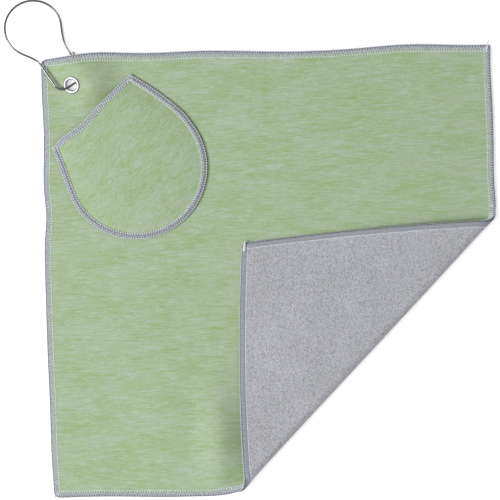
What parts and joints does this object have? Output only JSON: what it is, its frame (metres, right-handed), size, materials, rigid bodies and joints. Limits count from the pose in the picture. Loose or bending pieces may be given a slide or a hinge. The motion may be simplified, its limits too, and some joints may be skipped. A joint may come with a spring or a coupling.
{
  "type": "golf towel",
  "caption": "Square two-sided towel laid flat with a corner folded over, a round ball pocket, and a metal eyelet that holds a bulb-shaped spring hook.",
  "frame": {"origin": "middle of the unfolded towel, on its underside, where the towel lies on a table", "axes": "+X along the towel's top edge to the right, +Y up its left edge towards the eyelet's corner, +Z out of its face"},
  "size_m": [0.3224, 0.3332, 0.0123],
  "materials": {
    "knit": "soft heather knit with fine streaks along the width",
    "terry": "short-loop terry, matt",
    "overlock_thread": "wrapped overlock stitching, slightly glossy thread",
    "seam_thread": "lockstitch thread",
    "nickel_plate": "bright nickel plate",
    "spring_wire": "bright nickel-plated spring wire"
  },
  "bodies": {
    "towel": {"towel_backing": "terry", "towel_face": "knit", "fold_backing": "terry", "fold_face": "knit", "hem_top": "overlock_thread", "hem_left": "overlock_thread", "hem_bottom": "overlock_thread", "hem_right": "overlock_thread", "pocket_lining": "terry", "pocket_panel": "knit", "pocket_hem": "overlock_thread", "pocket_mouth_hem": "overlock_thread", "pocket_seam": "seam_thread", "eyelet_barrel": "nickel_plate", "eyelet_washer": "nickel_plate"},
    "corner_flap": {"flap_backing": "terry", "flap_face": "knit", "flap_hem_upper": "overlock_thread", "flap_hem_side": "overlock_thread"},
    "hook": {"hook_wire": "spring_wire"},
    "gate": {"hook_gate": "spring_wire"}
  },
  "joints": [
    {"name": "corner_fold", "type": "hinge", "parent": "towel", "child": "corner_flap", "pos_m": [0.15192, 0.03518, 0.0056], "axis": [0.6953, 0.7187, 0], "range_deg": [0, 179], "deforming": ["fold_backing", "fold_face"]},
    {"name": "hook_swing", "type": "hinge", "parent": "towel", "child": "hook", "pos_m": [-0.128, 0.129, 0.0047], "axis": [0, 0, 1], "range_deg": [-17, 6]},
    {"name": "gate_spring", "type": "hinge", "parent": "hook", "child": "gate", "pos_m": [-0.1631, 0.18347, 0.00369], "axis": [0, 0, -1], "range_deg": [0, 8], "stiffness_Nm_per_rad": 0.02, "springref_deg": -17.19}
  ]
}
